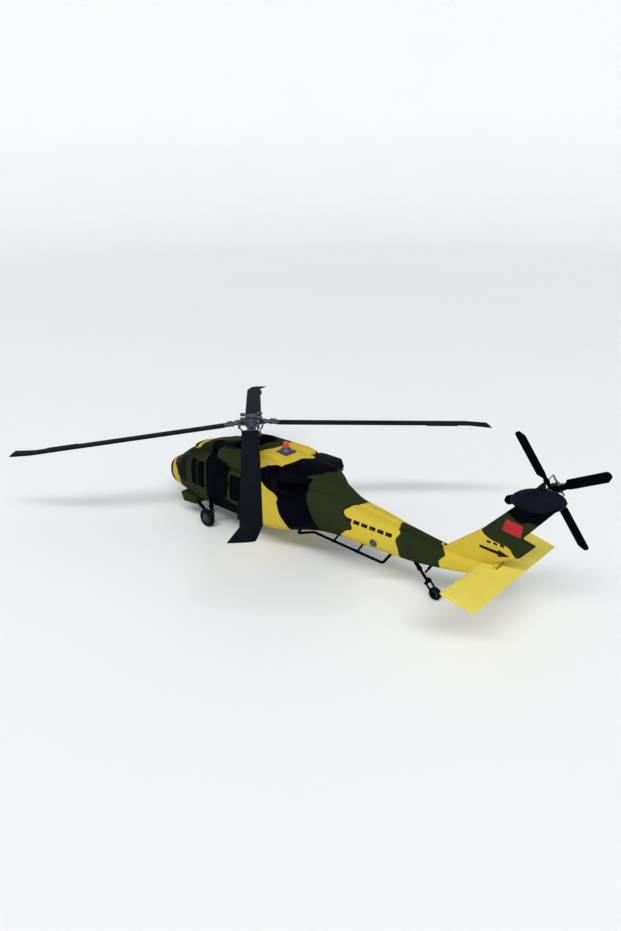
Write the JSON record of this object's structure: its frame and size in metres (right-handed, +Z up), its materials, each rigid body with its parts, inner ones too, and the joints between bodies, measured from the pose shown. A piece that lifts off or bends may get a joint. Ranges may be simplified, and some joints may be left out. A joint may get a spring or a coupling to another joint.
{
  "type": "toy helicopter",
  "caption": "Small-scale model of a twin-engine utility helicopter with turning main and tail rotors, rolling wheels, a tilting tailplane and wavy camouflage paint.",
  "frame": {"origin": "centre of the bounding box in plan, on the surface that the wheels stand on", "axes": "+X towards the nose, +Y to the left side of the helicopter, +Z up"},
  "size_m": [0.2404, 0.163, 0.0743],
  "materials": {
    "camouflage": "matt olive, black and yellow camouflage paint",
    "glazing": "dark tinted clear plastic, glossy",
    "black_plastic": "satin black moulded plastic",
    "wheel_grey": "grey moulded plastic",
    "tyre_rubber": "matt black soft plastic",
    "pale_metal": "plain steel pin and wire",
    "dark_metal": "gunmetal paint on plastic",
    "blade_paint": "matt charcoal paint with a fine grain",
    "red_lens": "glossy red plastic"
  },
  "bodies": {
    "airframe": {"fuselage_left": "camouflage", "fuselage_right": "camouflage", "cabin_door_left": "camouflage", "cabin_door_right": "camouflage", "forward_cowl": "camouflage", "aft_cowl": "camouflage", "engine_nacelle_left": "camouflage", "engine_nacelle_right": "camouflage", "gear_fairing_left": "camouflage", "gear_fairing_right": "camouflage", "windshield": "glazing", "chin_window_left": "glazing", "chin_window_right": "glazing", "side_glazing_left": "glazing", "side_glazing_right": "glazing", "exhaust_box_left": "black_plastic", "exhaust_box_right": "black_plastic", "cabin_floor": "black_plastic", "shock_strut_left": "black_plastic", "shock_strut_right": "black_plastic", "drag_beam_left": "black_plastic", "drag_beam_right": "black_plastic", "tail_gear_fork": "black_plastic", "tail_gear_brace": "black_plastic", "antenna_rail": "black_plastic", "mast_bearing": "black_plastic", "tail_gearbox_fairing": "black_plastic", "main_axle_left": "pale_metal", "main_axle_right": "pale_metal", "lamp_base": "dark_metal", "lamp_cap": "red_lens"},
    "main_rotor": {"rotor_mast": "pale_metal", "swashplate": "dark_metal", "rotor_hub": "dark_metal", "vibration_absorber": "dark_metal", "blade_cuff_1": "dark_metal", "blade_cuff_2": "dark_metal", "blade_cuff_3": "dark_metal", "blade_cuff_4": "dark_metal", "main_blade_1": "blade_paint", "main_blade_2": "blade_paint", "main_blade_3": "blade_paint", "main_blade_4": "blade_paint", "pitch_link_1": "pale_metal", "pitch_link_2": "pale_metal", "pitch_link_3": "pale_metal", "pitch_link_4": "pale_metal"},
    "tail_rotor": {"tail_shaft": "pale_metal", "tail_paddle_1": "blade_paint", "tail_paddle_2": "blade_paint", "tail_hub_plate": "dark_metal", "tail_pitch_beam": "pale_metal"},
    "left_wheel": {"main_wheel_left_tyre": "tyre_rubber", "main_wheel_left_hub": "wheel_grey"},
    "right_wheel": {"main_wheel_right_tyre": "tyre_rubber", "main_wheel_right_hub": "wheel_grey"},
    "tail_wheel": {"tail_wheel_tyre": "tyre_rubber", "tail_wheel_hub": "wheel_grey"},
    "stabiliser": {"stabiliser": "camouflage", "stabiliser_pin": "pale_metal"}
  },
  "joints": [
    {"name": "main_rotor_spin", "type": "hinge", "parent": "airframe", "child": "main_rotor", "pos_m": [0.03941, 0, 0.0512], "axis": [0.061, 0, 0.9981], "continuous": true},
    {"name": "tail_rotor_spin", "type": "hinge", "parent": "airframe", "child": "tail_rotor", "pos_m": [-0.10019, -0.009, 0.0547], "axis": [-0.1012, -0.9628, 0.2504], "continuous": true},
    {"name": "left_wheel_spin", "type": "hinge", "parent": "airframe", "child": "left_wheel", "pos_m": [0.05381, 0.0176, 0.0043], "axis": [0, 1, 0], "continuous": true},
    {"name": "right_wheel_spin", "type": "hinge", "parent": "airframe", "child": "right_wheel", "pos_m": [0.05381, -0.0176, 0.0043], "axis": [0, 1, 0], "continuous": true},
    {"name": "tail_wheel_spin", "type": "hinge", "parent": "airframe", "child": "tail_wheel", "pos_m": [-0.06279, 0, 0.00265], "axis": [0, 1, 0], "continuous": true},
    {"name": "stabiliser_tilt", "type": "hinge", "parent": "airframe", "child": "stabiliser", "pos_m": [-0.08599, 0, 0.0244], "axis": [0, 1, 0], "range_deg": [-29, 18]}
  ]
}
